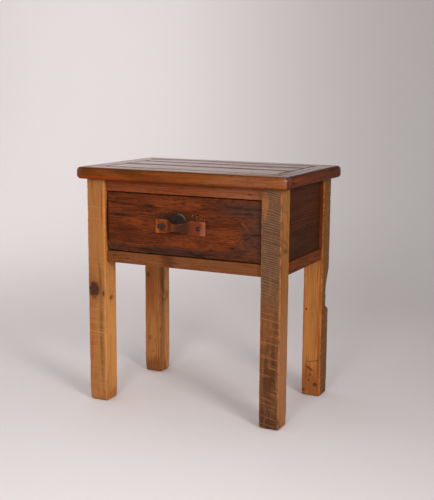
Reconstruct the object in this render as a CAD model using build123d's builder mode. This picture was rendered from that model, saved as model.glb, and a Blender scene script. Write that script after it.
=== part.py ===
from build123d import *
import math
import os

# Side table of reclaimed timber with one drawer. Sizes in mm, +Z up, front towards -Y,
# origin on the floor under the middle of the top.

# Overall
top_width = 614.0
top_depth = 400.0
table_height = 650.0

# Top: mitred border boards round three planks
top_thickness = 32.0
border_width = 60.0
edge_round = 10.0
corner_round = 12.0
front_plank_width = 109.0
middle_plank_width = 97.0
plank_gap = 1.8
joint_arris = 4.0
plank_tongue_length = 8.0
plank_tongue_thickness = 8.0
spline_margin = 20.0
spline_width = 24.0
spline_thickness = 5.0

# Posts
side_overhang = 23.0
front_overhang = 20.0
leg_section = 55.0
leg_arris = 3.0
foot_chamfer = 2.5
wane_bottom = 250.0
wane_full = 305.0
wane_top = 382.0
wane_along_side = 24.0
wane_along_back = 17.0
wane_step_share = 0.9
wane_runout_share = 0.05
wane_overcut = 1.0

# Rails and their joints
rail_height = 31.0
rail_thickness = 22.0
rail_arris = 1.5
front_recess = 10.0
side_recess = 6.0
rear_recess = 8.0
drawer_opening = 163.0
tenon_thickness = 10.0
tenon_shoulder = 5.0
tenon_web = 6.0
mortise_end_gap = 1.0
glue_gap = 0.15

# Side and back panels, two boards each
panel_setback = 5.5
panel_thickness = 12.0
panel_tongue_thickness = 8.0
panel_tongue_length = 8.0
panel_play = 0.5
groove_cheek = 2.0
panel_joint_drop = 2.0
board_tongue_length = 5.0
board_tongue_thickness = 4.0
board_arris = 1.0

# Drawer
front_gap = 2.5
front_setback = 2.0
front_thickness = 22.0
front_arris = 1.5
dovetail_lap = 7.0
dovetail_slope = 1.0 / 6.0
pin_width = 8.0
front_tails = 4
back_tails = 3
box_thickness = 13.0
bottom_thickness = 6.0
bottom_rise = 10.0
bottom_groove = 6.0
bottom_nail_shank = 2.0
bottom_nail_length = 24.0
bottom_nail_head = 4.4
bottom_nail_head_edge = 0.8
bottom_nail_spacing = 130.0

# Drawer running gear
runner_play = 0.3
guide_play = 0.8
runner_ledge = 14.0
runner_thickness = 20.0
guide_height = 20.0
stub_length = 8.0
stub_thickness = 8.0
stub_shoulder = 3.0
stop_block_height = 20.0
stop_block_depth = 10.0
fit_gap = 0.5
peg_setback = 35.4
peg_radius = 4.0
peg_hang = 10.0
peg_depth = 20.0

# Screws up through the kickers
screw_radius = 2.25
screw_head_radius = 4.5
screw_head_height = 3.0
screw_length = 44.0
screw_hole_radius = 2.6
counterbore_radius = 5.5
counterbore_depth = 9.0

# Strap pull
strap_length = 146.0
strap_height = 37.0
strap_waist = 19.0
strap_thickness = 4.0
strap_corner = 3.0
strap_left_tab = 30.0
strap_right_tab = 42.0
strap_standoff = 20.0
strap_crown = 10.0
strap_shift = -3.0
strap_drop = 2.5
left_nail_inset = 12.0
right_nail_inset = 20.0
nail_shank = 4.0
nail_head = 11.0
nail_head_edge = 1.2
nail_head_point = 3.0
nail_head_slope = 48.0
nail_gap = 0.1

# Derived positions
leg_height = table_height - top_thickness
outer_x = top_width / 2 - side_overhang
outer_y = top_depth / 2 - front_overhang
inner_x = outer_x - leg_section
inner_y = outer_y - leg_section
upper_rail_z = leg_height - rail_height
lower_rail_z = upper_rail_z - drawer_opening - rail_height
runner_top = lower_rail_z + rail_height
deepest_recess = max(front_recess, side_recess, rear_recess)
tenon_length = leg_section - deepest_recess - (rail_thickness + tenon_thickness) / 2 - tenon_web
panel_groove = panel_tongue_length + panel_play
panel_shoulder = panel_groove + groove_cheek

os.makedirs("parts", exist_ok=True)


def keep(builder, name):
    builder.part.label = name
    export_step(builder.part, f"parts/{name}.step")


# Each side of the frame has a plane on the outer faces of its two posts:
# local X along the rails, local Y inwards, Z up. At the left and right the upper rail
# stands behind the panel, which runs up to the top.
class Side:
    def __init__(self, origin, along, span, recess, panelled, panel_outside=False):
        self.plane = Plane(origin=origin, x_dir=along, z_dir=(0, 0, 1))
        self.span = span
        self.panel_face = recess + panel_setback
        self.lower_recess = recess
        self.upper_recess = self.panel_face + panel_thickness if panel_outside else recess
        self.lower_groove = panelled
        self.upper_groove = panelled and not panel_outside
        self.panelled = panelled
        self.panel_top = leg_height if panel_outside else upper_rail_z + panel_groove

    def at(self, x, y, z):
        return self.plane.location * Location((x, y, z))

    def rail_middle(self, upper):
        return (self.upper_recess if upper else self.lower_recess) + rail_thickness / 2


front_side = Side((0, -outer_y, 0), (1, 0, 0), 2 * inner_x, front_recess, False)
rear_side = Side((0, outer_y, 0), (-1, 0, 0), 2 * inner_x, rear_recess, True)
right_side = Side((outer_x, 0, 0), (0, 1, 0), 2 * inner_y, side_recess, True, True)
left_side = Side((-outer_x, 0, 0), (0, -1, 0), 2 * inner_y, side_recess, True, True)


def tenon_band(side, upper):
    """Bottom and top of a tenon: the shoulder towards a panel clears the panel's groove."""
    if upper:
        low = panel_shoulder if side.upper_groove else tenon_shoulder
        return upper_rail_z + low, leg_height - tenon_shoulder
    high = panel_shoulder if side.lower_groove else tenon_shoulder
    return lower_rail_z + tenon_shoulder, runner_top - high


# Posts: mortises for the rails on two faces, grooves for the panels
def cut_post_joints(side, end):
    depth = tenon_length + mortise_end_gap
    for upper in (False, True):
        low, high = tenon_band(side, upper)
        with Locations(side.at(end * (side.span + depth) / 2, side.rail_middle(upper), (low + high) / 2)):
            Box(depth, tenon_thickness + 2 * glue_gap, high - low + 2 * glue_gap, mode=Mode.SUBTRACT)
    if side.panelled:
        across = side.panel_face + panel_tongue_thickness / 2
        low = runner_top - panel_groove
        with Locations(side.at(end * (side.span + panel_groove) / 2, across, (low + side.panel_top) / 2)):
            Box(
                panel_groove,
                panel_tongue_thickness + 2 * glue_gap,
                side.panel_top - low,
                mode=Mode.SUBTRACT,
            )


def build_leg(name, x_sign, y_sign, joints, waned=False):
    with BuildPart() as leg:
        with BuildSketch():
            with Locations((x_sign * (inner_x + outer_x) / 2, y_sign * (inner_y + outer_y) / 2)):
                RectangleRounded(leg_section, leg_section, leg_arris)
        extrude(amount=leg_height)
        chamfer(leg.faces().sort_by(Axis.Z)[0].edges(), foot_chamfer)
        for side, end in joints:
            cut_post_joints(side, end)
        if waned:
            # Chip along the outer rear arris, deepest low down where it ends in a step
            past_x = x_sign * wane_overcut
            past_y = y_sign * wane_overcut
            levels = {wane_bottom: wane_step_share, wane_full: 1.0, wane_top: wane_runout_share}
            for height, share in levels.items():
                with BuildSketch(Plane((x_sign * outer_x, y_sign * outer_y, height))):
                    reach_x = -x_sign * wane_along_back * share
                    reach_y = -y_sign * wane_along_side * share
                    Polygon((past_x, past_y), (past_x, reach_y), (reach_x, past_y), align=None)
            loft(ruled=True, mode=Mode.SUBTRACT)
    keep(leg, name)


build_leg("leg_front_left", -1, -1, ((front_side, -1), (left_side, 1)))
build_leg("leg_front_right", 1, -1, ((front_side, 1), (right_side, -1)))
build_leg("leg_rear_left", -1, 1, ((rear_side, 1), (left_side, -1)))
build_leg("leg_rear_right", 1, 1, ((rear_side, -1), (right_side, 1)), waned=True)


# Drawer box positions that the running gear also needs
box_half = inner_x - front_gap
box_inner = box_half - box_thickness
drawer_face = -outer_y + front_recess + front_setback
shoulder_y = drawer_face + front_thickness
rear_rail_front = outer_y - rear_recess - rail_thickness
drawer_end = rear_rail_front - stop_block_depth - runner_play
box_bottom = runner_top + runner_play
box_top = upper_rail_z - front_gap
ledge_x = box_inner - runner_ledge
front_rail_back = -outer_y + front_recess + rail_thickness
runner_outer = outer_x - right_side.lower_recess - rail_thickness
kicker_outer = outer_x - right_side.upper_recess - rail_thickness
arm_outer = inner_x - fit_gap
stub_width = arm_outer - ledge_x - 2 * stub_shoulder


# Rails: shouldered tenons at both ends, panel groove, stub mortises for runners or kickers
def build_rail(name, side, upper, stub_z=None):
    base = upper_rail_z if upper else lower_rail_z
    across = side.rail_middle(upper)
    low, high = tenon_band(side, upper)
    grooved = side.upper_groove if upper else side.lower_groove
    with BuildPart() as rail:
        with Locations(side.at(0, across, base + rail_height / 2)):
            Box(side.span, rail_thickness, rail_height)
        chamfer(rail.edges().filter_by(Axis(side.plane.origin, side.plane.x_dir)), rail_arris)
        with Locations(side.at(0, across, (low + high) / 2)):
            Box(side.span + 2 * tenon_length, tenon_thickness, high - low)
        if grooved:
            edge = base + panel_groove / 2 if upper else base + rail_height - panel_groove / 2
            with Locations(side.at(0, side.panel_face + panel_tongue_thickness / 2, edge)):
                Box(side.span, panel_tongue_thickness + 2 * glue_gap, panel_groove, mode=Mode.SUBTRACT)
        if stub_z is not None:
            reach = stub_length + mortise_end_gap
            for x_sign in (-1, 1):
                x = x_sign * (ledge_x + arm_outer) / 2
                with Locations(side.at(x, across + (rail_thickness - reach) / 2, stub_z)):
                    Box(stub_width + 2 * glue_gap, reach, stub_thickness + 2 * glue_gap, mode=Mode.SUBTRACT)
    keep(rail, name)


runner_stub_z = runner_top - runner_thickness / 2
kicker_stub_z = upper_rail_z + rail_height / 2
build_rail("front_upper_rail", front_side, True, kicker_stub_z)
build_rail("front_lower_rail", front_side, False, runner_stub_z)
build_rail("rear_upper_rail", rear_side, True, kicker_stub_z)
build_rail("rear_lower_rail", rear_side, False, runner_stub_z)
build_rail("left_upper_rail", left_side, True)
build_rail("left_lower_rail", left_side, False)
build_rail("right_upper_rail", right_side, True)
build_rail("right_lower_rail", right_side, False)


# Panels: two boards with a tongued joint, rabbeted inside to a tongue that enters the grooves
panel_joint = (runner_top + upper_rail_z) / 2 - panel_joint_drop


def build_panel_board(name, side, upper):
    low = panel_joint + glue_gap if upper else runner_top - panel_tongue_length
    high = side.panel_top - panel_play if upper else panel_joint
    length = side.span + 2 * panel_tongue_length
    joint_y = side.panel_face + panel_tongue_thickness / 2
    tongue = board_tongue_length - panel_play
    with BuildPart() as board:
        with Locations(side.at(0, side.panel_face + panel_tongue_thickness / 2, (low + high) / 2)):
            Box(length, panel_tongue_thickness, high - low)
        joint_edges = board.edges().filter_by(Axis(side.plane.origin, side.plane.x_dir))
        joint_edges = joint_edges.group_by(Axis.Z)[0 if upper else -1]
        outward = Axis(side.plane.origin, -side.plane.y_dir)
        chamfer(joint_edges.sort_by(outward)[-1], board_arris)
        inside_low = low if upper else runner_top + panel_play
        inside_high = min(high, upper_rail_z - panel_play) if upper and side.upper_groove else high
        padding = panel_thickness - panel_tongue_thickness
        inside_y = side.panel_face + panel_tongue_thickness + padding / 2
        with Locations(side.at(0, inside_y, (inside_low + inside_high) / 2)):
            Box(side.span - 2 * panel_play, padding, inside_high - inside_low)
        if upper:
            with Locations(side.at(0, joint_y, low + board_tongue_length / 2)):
                Box(length, board_tongue_thickness + 2 * glue_gap, board_tongue_length, mode=Mode.SUBTRACT)
        else:
            with Locations(side.at(0, joint_y, high + tongue / 2)):
                Box(length, board_tongue_thickness, tongue)
    keep(board, name)


build_panel_board("left_panel_upper_board", left_side, True)
build_panel_board("left_panel_lower_board", left_side, False)
build_panel_board("right_panel_upper_board", right_side, True)
build_panel_board("right_panel_lower_board", right_side, False)
build_panel_board("back_panel_upper_board", rear_side, True)
build_panel_board("back_panel_lower_board", rear_side, False)


# Runners and kickers: bearers notched round the posts, stub tenoned into the front and rear rails
arm_length = rear_rail_front - front_rail_back
arm_middle = (rear_rail_front + front_rail_back) / 2
arm_x = (ledge_x + arm_outer) / 2
wide_length = 2 * (inner_y - fit_gap)


def lay_bearer(x_sign, outer, low, high, stub_z):
    middle = (low + high) / 2
    with Locations((x_sign * arm_x, arm_middle, middle)):
        Box(arm_outer - ledge_x, arm_length, high - low)
    with Locations((x_sign * (ledge_x + outer) / 2, 0, middle)):
        Box(outer - ledge_x, wide_length, high - low)
    with Locations((x_sign * arm_x, arm_middle, stub_z)):
        Box(stub_width, arm_length + 2 * stub_length, stub_thickness)


def build_runner(name, x_sign):
    guide_face = box_half + guide_play
    with BuildPart() as runner:
        lay_bearer(x_sign, runner_outer, runner_top - runner_thickness, runner_top, runner_stub_z)
        with Locations((x_sign * (guide_face + runner_outer) / 2, 0, runner_top + guide_height / 2)):
            Box(runner_outer - guide_face, wide_length, guide_height)
    keep(runner, name)


build_runner("left_runner", -1)
build_runner("right_runner", 1)

plank_half_depth = top_depth / 2 - border_width
plank_half_length = top_width / 2 - border_width
first_joint = -plank_half_depth + front_plank_width
second_joint = first_joint + middle_plank_width
screw_x = (ledge_x + kicker_outer) / 2
screw_rows = (
    (-plank_half_depth + first_joint) / 2,
    (first_joint + second_joint) / 2,
    (second_joint + plank_half_depth) / 2,
)
screw_seat = upper_rail_z + counterbore_depth
peg_x = (ledge_x + box_inner) / 2
back_face = drawer_end - box_thickness
peg_y = front_rail_back + peg_setback


def upwards(x, y, z):
    """Plane that looks up from below, for holes drilled upwards."""
    return Plane(origin=(x, y, z), x_dir=(1, 0, 0), z_dir=(0, 0, -1))


def build_kicker(name, x_sign):
    with BuildPart() as kicker:
        lay_bearer(x_sign, kicker_outer, upper_rail_z, leg_height, kicker_stub_z)
        for y in screw_rows:
            with Locations(upwards(x_sign * screw_x, y, upper_rail_z)):
                CounterBoreHole(screw_hole_radius, counterbore_radius, counterbore_depth)
        with Locations(upwards(x_sign * peg_x, peg_y, upper_rail_z)):
            Hole(peg_radius + glue_gap, peg_depth + fit_gap)
    keep(kicker, name)


build_kicker("left_kicker", -1)
build_kicker("right_kicker", 1)

with BuildPart() as rear_stop_blocks:
    block_y = rear_rail_front - stop_block_depth / 2
    block_z = runner_top + stop_block_height / 2
    with Locations((-arm_x, block_y, block_z), (arm_x, block_y, block_z)):
        Box(arm_outer - ledge_x, stop_block_depth, stop_block_height)
keep(rear_stop_blocks, "rear_stop_blocks")

with BuildPart() as travel_stop_pegs:
    with Locations((-peg_x, peg_y, upper_rail_z - peg_hang), (peg_x, peg_y, upper_rail_z - peg_hang)):
        Cylinder(peg_radius, peg_hang + peg_depth, align=(Align.CENTER, Align.CENTER, Align.MIN))
keep(travel_stop_pegs, "travel_stop_pegs")


# Top: one rounded slab outline, parted along the mitres into four border boards
plank_groove = plank_tongue_length + panel_play
tongue_z = leg_height + top_thickness / 2
spline_length = math.sqrt(2) * (border_width - plank_groove) - 2 * spline_margin
spline_reach = plank_groove + spline_margin / math.sqrt(2) + spline_length / 2 / math.sqrt(2)

with BuildPart() as top_outline:
    with BuildSketch(Plane.XY.offset(leg_height)):
        RectangleRounded(top_width, top_depth, corner_round)
    extrude(amount=top_thickness)
    fillet(top_outline.faces().sort_by(Axis.Z)[0].edges(), edge_round)
    fillet(top_outline.faces().sort_by(Axis.Z)[-1].edges(), edge_round)


def corner_places():
    """Middle of the spline at each mitre, turned along it."""
    for x_sign in (-1, 1):
        for y_sign in (-1, 1):
            x = x_sign * (plank_half_length + spline_reach)
            y = y_sign * (plank_half_depth + spline_reach)
            yield Location((x, y, tongue_z), (0, 0, 45 * x_sign * y_sign))


def build_border(name, outer_left, outer_right, inner_right, inner_left):
    with BuildPart() as border:
        add(top_outline.part)
        with BuildSketch(Plane.XY.offset(leg_height)):
            Polygon(outer_left, outer_right, inner_right, inner_left, align=None)
        extrude(amount=top_thickness, mode=Mode.INTERSECT)
        upper_edges = border.faces().sort_by(Axis.Z)[-1].edges()
        chamfer(upper_edges.sort_by_distance((0, 0, table_height))[0], joint_arris)
        with Locations((0, 0, tongue_z)):
            Box(
                2 * (plank_half_length + plank_groove),
                2 * (plank_half_depth + plank_groove),
                plank_tongue_thickness + 2 * glue_gap,
                mode=Mode.SUBTRACT,
            )
        with Locations(*corner_places()):
            Box(
                spline_length + 2 * fit_gap,
                spline_width + 2 * fit_gap,
                spline_thickness + 2 * glue_gap,
                mode=Mode.SUBTRACT,
            )
    keep(border, name)


half_x = top_width / 2
half_y = top_depth / 2
corners = [(-half_x, -half_y), (half_x, -half_y), (half_x, half_y), (-half_x, half_y)]
openings = [
    (-plank_half_length, -plank_half_depth),
    (plank_half_length, -plank_half_depth),
    (plank_half_length, plank_half_depth),
    (-plank_half_length, plank_half_depth),
]
build_border("top_front_board", corners[0], corners[1], openings[1], openings[0])
build_border("top_right_board", corners[1], corners[2], openings[2], openings[1])
build_border("top_rear_board", corners[2], corners[3], openings[3], openings[2])
build_border("top_left_board", corners[3], corners[0], openings[0], openings[3])

with BuildPart() as mitre_splines:
    with Locations(*corner_places()):
        Box(spline_length, spline_width, spline_thickness)
keep(mitre_splines, "mitre_splines")


# Planks: tongues at both ends and along the front edge, a groove along the rear edge of all but the last
def build_plank(name, front_edge, rear_edge, screw_y, last=False):
    low_y = front_edge + plank_gap / 2
    high_y = rear_edge - plank_gap / 2
    half_length = plank_half_length - plank_gap / 2
    tongue = plank_tongue_length + plank_gap / 2
    with BuildPart() as plank:
        with Locations((0, (low_y + high_y) / 2, tongue_z)):
            Box(2 * half_length, high_y - low_y, top_thickness)
        chamfer(plank.faces().sort_by(Axis.Z)[-1].edges(), joint_arris)
        tongue_end = high_y + (tongue - plank_gap / 2 if last else 0)
        with Locations((0, (low_y - tongue + tongue_end) / 2, tongue_z)):
            Box(2 * half_length, tongue_end - low_y + tongue, plank_tongue_thickness)
        with Locations((0, (low_y + high_y) / 2, tongue_z)):
            Box(2 * (half_length + tongue), high_y - low_y, plank_tongue_thickness)
        if not last:
            with Locations((0, high_y - plank_groove / 2, tongue_z)):
                Box(
                    2 * (half_length + tongue),
                    plank_groove,
                    plank_tongue_thickness + 2 * glue_gap,
                    mode=Mode.SUBTRACT,
                )
        for x_sign in (-1, 1):
            with Locations(upwards(x_sign * screw_x, screw_y, leg_height)):
                Hole(screw_radius + glue_gap, screw_seat + screw_length + fit_gap - leg_height)
    keep(plank, name)


build_plank("top_front_plank", -plank_half_depth, first_joint, screw_rows[0])
build_plank("top_middle_plank", first_joint, second_joint, screw_rows[1])
build_plank("top_rear_plank", second_joint, plank_half_depth, screw_rows[2], last=True)

with BuildPart() as screw:
    with BuildSketch(Plane.XZ):
        with BuildLine():
            Polyline(
                (0, -screw_head_height),
                (screw_head_radius, -screw_head_height),
                (screw_head_radius, 0),
                (screw_radius, 0),
                (screw_radius, screw_length),
                (0, screw_length),
                close=True,
            )
        make_face()
    revolve(axis=Axis.Z)

with BuildPart() as top_screws:
    for y in screw_rows:
        with Locations((-screw_x, y, screw_seat), (screw_x, y, screw_seat)):
            add(screw.part)
keep(top_screws, "top_screws")


# Drawer box: half-blind dovetails at the front, through dovetails at the back
front_low = runner_top + front_gap
tail_length = front_thickness - dovetail_lap
bottom_low = box_bottom + bottom_rise
bottom_high = bottom_low + bottom_thickness
back_low = bottom_high + 2 * glue_gap


def tail_rows(low, high, count):
    pitch = (high - low) / count
    return [low + pitch * (i + 0.5) for i in range(count)]


def tail_outline(shoulder, z, direction, length, pitch, grow=0.0):
    """Corner points of one tail in the YZ plane, wider at its tip."""
    tip = (pitch - pin_width) / 2 + grow
    root = tip - length * dovetail_slope
    end = shoulder + direction * (length + grow)
    return [(shoulder, z - root), (shoulder, z + root), (end, z + tip), (end, z - tip)]


front_rows = tail_rows(front_low, box_top, front_tails)
back_rows = tail_rows(back_low, box_top, back_tails)
front_pitch = (box_top - front_low) / front_tails
back_pitch = (box_top - back_low) / back_tails


def sketch_tails(grow):
    for z in front_rows:
        Polygon(*tail_outline(shoulder_y, z, -1, tail_length, front_pitch, grow), align=None)
    for z in back_rows:
        Polygon(*tail_outline(back_face, z, 1, box_thickness, back_pitch, grow), align=None)


def build_drawer_side(name, x_sign):
    start = box_inner if x_sign > 0 else -box_half
    with BuildPart() as drawer_side:
        with BuildSketch(Plane.YZ.offset(start)):
            with Locations(((shoulder_y + back_face) / 2, (box_bottom + box_top) / 2)):
                Rectangle(back_face - shoulder_y, box_top - box_bottom)
            strip_top = back_low - glue_gap
            with Locations(((shoulder_y + drawer_end) / 2, (box_bottom + strip_top) / 2)):
                Rectangle(drawer_end - shoulder_y, strip_top - box_bottom)
            sketch_tails(0.0)
        extrude(amount=box_thickness)
        with Locations((x_sign * (box_inner + bottom_groove / 2), 0, (bottom_low + bottom_high) / 2)):
            Box(bottom_groove, top_depth, bottom_thickness + 2 * glue_gap, mode=Mode.SUBTRACT)
    keep(drawer_side, name)


build_drawer_side("drawer_left_side", -1)
build_drawer_side("drawer_right_side", 1)


def cut_tail_sockets():
    reach = box_thickness + glue_gap
    for start in (box_inner - glue_gap, -box_half):
        with BuildSketch(Plane.YZ.offset(start)) as sockets:
            sketch_tails(glue_gap)
        extrude(sockets.sketch, amount=reach, mode=Mode.SUBTRACT)


strap_left = strap_shift - strap_length / 2
strap_right = strap_shift + strap_length / 2
strap_z = (front_low + box_top) / 2 - strap_drop
nail_places = [
    (strap_left + left_nail_inset, drawer_face, strap_z),
    (strap_right - right_nail_inset, drawer_face, strap_z),
]


def cut_nail_holes(depth):
    for place in nail_places:
        with Locations(place):
            hole = nail_shank + 2 * nail_gap
            Box(hole, 2 * depth, hole, mode=Mode.SUBTRACT)


with BuildPart() as drawer_front:
    with Locations((0, (drawer_face + shoulder_y) / 2, (front_low + box_top) / 2)):
        Box(2 * box_half, front_thickness, box_top - front_low)
    chamfer(drawer_front.faces().sort_by(Axis.Y)[0].edges(), front_arris)
    cut_tail_sockets()
    with Locations((0, shoulder_y - bottom_groove / 2, (bottom_low + bottom_high) / 2)):
        Box(
            2 * (box_inner + bottom_groove),
            bottom_groove,
            bottom_thickness + 2 * glue_gap,
            mode=Mode.SUBTRACT,
        )
    cut_nail_holes(front_thickness + fit_gap)
keep(drawer_front, "drawer_front")

nail_row = (back_face + drawer_end) / 2
bottom_nail_places = [(x, nail_row, bottom_low) for x in (-bottom_nail_spacing, 0, bottom_nail_spacing)]


def cut_bottom_nail_holes():
    hole = bottom_nail_shank + 2 * nail_gap
    with Locations(*bottom_nail_places):
        Box(hole, hole, 2 * (bottom_nail_length + fit_gap), mode=Mode.SUBTRACT)


with BuildPart() as drawer_back:
    with Locations((0, (back_face + drawer_end) / 2, (back_low + box_top) / 2)):
        Box(2 * box_half, box_thickness, box_top - back_low)
    cut_tail_sockets()
    cut_bottom_nail_holes()
keep(drawer_back, "drawer_back")

with BuildPart() as drawer_bottom:
    panel_front = shoulder_y - bottom_groove + fit_gap
    with Locations((0, (panel_front + drawer_end) / 2, (bottom_low + bottom_high) / 2)):
        Box(2 * (box_inner + bottom_groove - fit_gap), drawer_end - panel_front, bottom_thickness)
    cut_bottom_nail_holes()
keep(drawer_bottom, "drawer_bottom")

with BuildPart() as bottom_nails:
    low = (Align.CENTER, Align.CENTER, Align.MIN)
    high = (Align.CENTER, Align.CENTER, Align.MAX)
    with Locations(*bottom_nail_places):
        Box(bottom_nail_shank, bottom_nail_shank, bottom_nail_length, align=low)
        Box(bottom_nail_head, bottom_nail_head, bottom_nail_head_edge, align=high)
keep(bottom_nails, "drawer_bottom_nails")


# Strap pull: flat tabs on the drawer front, the middle bowed out in two S curves and cut to a waist
bow_left = strap_left + strap_left_tab
bow_right = strap_right - strap_right_tab
bow_middle = (bow_left + bow_right) / 2
bow_run = (bow_right - bow_left - strap_crown) / 2
strap_mid = drawer_face - strap_thickness / 2
crown_y = strap_mid - strap_standoff
half_way = strap_mid - strap_standoff / 2

with BuildPart() as drawer_pull:
    with BuildSketch(Plane.XY.offset(strap_z - strap_height / 2)):
        with BuildLine():
            left_tab = Line((strap_left, strap_mid), (bow_left, strap_mid))
            rise = TangentArc(left_tab @ 1, (bow_left + bow_run / 2, half_way), tangent=left_tab % 1)
            crest = TangentArc(rise @ 1, (bow_left + bow_run, crown_y), tangent=rise % 1)
            crown = Line(crest @ 1, (bow_right - bow_run, crown_y))
            fall = TangentArc(crown @ 1, (bow_right - bow_run / 2, half_way), tangent=crown % 1)
            foot = TangentArc(fall @ 1, (bow_right, strap_mid), tangent=fall % 1)
            Line(foot @ 1, (strap_right, strap_mid))
        trace(line_width=strap_thickness)
    extrude(amount=strap_height)
    with BuildSketch(Plane(origin=(0, drawer_face, strap_z), x_dir=(1, 0, 0), z_dir=(0, -1, 0))):
        with BuildLine():
            high = strap_height / 2
            waist = strap_waist / 2
            ThreePointArc((bow_left, high), (bow_middle, waist), (bow_right, high))
            Polyline((bow_right, high), (strap_right, high), (strap_right, -high), (bow_right, -high))
            ThreePointArc((bow_right, -high), (bow_middle, -waist), (bow_left, -high))
            Polyline((bow_left, -high), (strap_left, -high), (strap_left, high), (bow_left, high))
        tabs = make_face().vertices().group_by(Axis.X)
        fillet(tabs[0] + tabs[-1], strap_corner)
    extrude(amount=strap_standoff + 2 * strap_thickness, mode=Mode.INTERSECT)
    cut_nail_holes(2 * strap_thickness)
keep(drawer_pull, "drawer_pull")

with BuildPart() as drawer_pull_nails:
    head_y = drawer_face - strap_thickness
    nail_points = [(x, z) for x, y, z in nail_places]
    with BuildSketch(Plane.XZ.offset(-head_y)):
        with Locations(*nail_points):
            Rectangle(nail_head, nail_head)
    extrude(amount=nail_head_edge)
    with BuildSketch(Plane.XZ.offset(-head_y + nail_head_edge)):
        with Locations(*nail_points):
            Rectangle(nail_head, nail_head)
    extrude(amount=nail_head_point, taper=nail_head_slope)
    with BuildSketch(Plane.XZ.offset(-head_y)):
        with Locations(*nail_points):
            Rectangle(nail_shank, nail_shank)
    extrude(amount=-(strap_thickness + front_thickness))
keep(drawer_pull_nails, "drawer_pull_nails")
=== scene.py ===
import math
import bmesh
import bpy
from mathutils import Matrix, Vector


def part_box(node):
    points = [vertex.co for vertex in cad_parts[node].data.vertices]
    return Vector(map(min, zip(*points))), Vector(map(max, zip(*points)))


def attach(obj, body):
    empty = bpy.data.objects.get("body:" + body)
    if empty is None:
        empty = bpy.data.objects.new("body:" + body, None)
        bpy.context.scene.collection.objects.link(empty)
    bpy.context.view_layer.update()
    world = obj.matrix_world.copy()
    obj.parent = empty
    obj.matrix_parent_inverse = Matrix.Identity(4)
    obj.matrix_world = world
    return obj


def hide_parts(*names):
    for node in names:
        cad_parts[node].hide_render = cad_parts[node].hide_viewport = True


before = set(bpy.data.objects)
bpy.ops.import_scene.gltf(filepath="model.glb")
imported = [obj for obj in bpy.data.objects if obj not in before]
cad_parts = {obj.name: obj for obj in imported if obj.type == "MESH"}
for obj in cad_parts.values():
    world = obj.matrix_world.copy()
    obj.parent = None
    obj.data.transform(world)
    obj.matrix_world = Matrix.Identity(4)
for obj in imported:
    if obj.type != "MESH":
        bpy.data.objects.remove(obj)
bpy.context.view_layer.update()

# Posts
# Four square posts cut from old beams: some faces still show the marks of a circular saw, others
# were planed. Their arrises are rubbed round, most of all at the feet, and the rear right post has
# lost a long chip. The rails are tenoned into them.


class Wire:
    """An output socket. Sums on numbers add Math nodes, sums on vectors add Vector Math nodes."""

    def __init__(self, socket):
        self.socket = socket
        self.tree = socket.id_data
        self.is_vector = socket.type in ("VECTOR", "RGBA")

    def node(self, kind, settings=None, values=None, output=0):
        made = self.tree.nodes.new(kind)
        for name, setting in (settings or {}).items():
            setattr(made, name, setting)
        for name, value in (values or {}).items():
            if isinstance(value, Wire):
                self.tree.links.new(value.socket, made.inputs[name])
            else:
                made.inputs[name].default_value = value
        return Wire(made.outputs[output])

    def sum(self, operation, *values, output=0):
        kind = "ShaderNodeVectorMath" if self.is_vector else "ShaderNodeMath"
        return self.node(kind, {"operation": operation}, dict(enumerate(values)), output)

    def __mul__(self, other):
        number = isinstance(other, (int, float)) or (isinstance(other, Wire) and not other.is_vector)
        if self.is_vector and number:
            return self.node("ShaderNodeVectorMath", {"operation": "SCALE"}, {0: self, "Scale": other})
        return self.sum("MULTIPLY", self, other)

    def length(self):
        return self.sum("LENGTH", self, output=1)

    def parts(self):
        split = self.node("ShaderNodeSeparateXYZ", values={0: self})
        return [Wire(socket) for socket in split.socket.node.outputs]

    def joined(self, y, z):
        return self.node("ShaderNodeCombineXYZ", values={0: self, 1: y, 2: z})

    def ramp(self, low, high):
        """0 before low, 1 after high, eased between; low may be the greater."""
        limits = {"Value": self, "From Min": low, "From Max": high}
        return self.node("ShaderNodeMapRange", {"interpolation_type": "SMOOTHSTEP"}, limits)

    def noise(self, scale, detail=2.0, rough=0.55):
        """Noise at this place, with a scale for each axis in waves per metre."""
        values = {"Vector": self * scale, "Scale": 1.0, "Detail": detail, "Roughness": rough}
        return self.node("ShaderNodeTexNoise", values=values)

    def between(self, first, second, way="MIX"):
        """Colour that goes from first to second as this number goes from 0 to 1."""
        settings = {"data_type": "RGBA", "blend_type": way}
        return self.node("ShaderNodeMix", settings, {0: self, 6: first, 7: second}, 2)

    def inside(self, half, edge):
        """This place, kept an edge's width inside a half size."""
        return self.least(half - edge).most(edge - half)

    def mark(self, title):
        """What the mesh has stored under a title."""
        return self.node("ShaderNodeAttribute", {"attribute_name": title}, output=2)

    def into(self, shader, title):
        self.tree.links.new(self.socket, shader.inputs[title])

    def bump(self, shader, strength, distance):
        values = {"Strength": strength, "Distance": distance, "Height": self}
        self.node("ShaderNodeBump", values=values).into(shader, "Normal")


for title, operation in {
    "__add__": "ADD", "__radd__": "ADD", "__sub__": "SUBTRACT", "__truediv__": "DIVIDE", "__pow__": "POWER",
    "least": "MINIMUM", "most": "MAXIMUM", "size": "ABSOLUTE", "sign": "SIGN", "rest": "FRACT",
}.items():
    setattr(Wire, title, lambda self, *others, way=operation: self.sum(way, self, *others))
for title, operation in {"__rsub__": "SUBTRACT", "__rtruediv__": "DIVIDE"}.items():
    setattr(Wire, title, lambda self, other, way=operation: self.sum(way, other, self))


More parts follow.
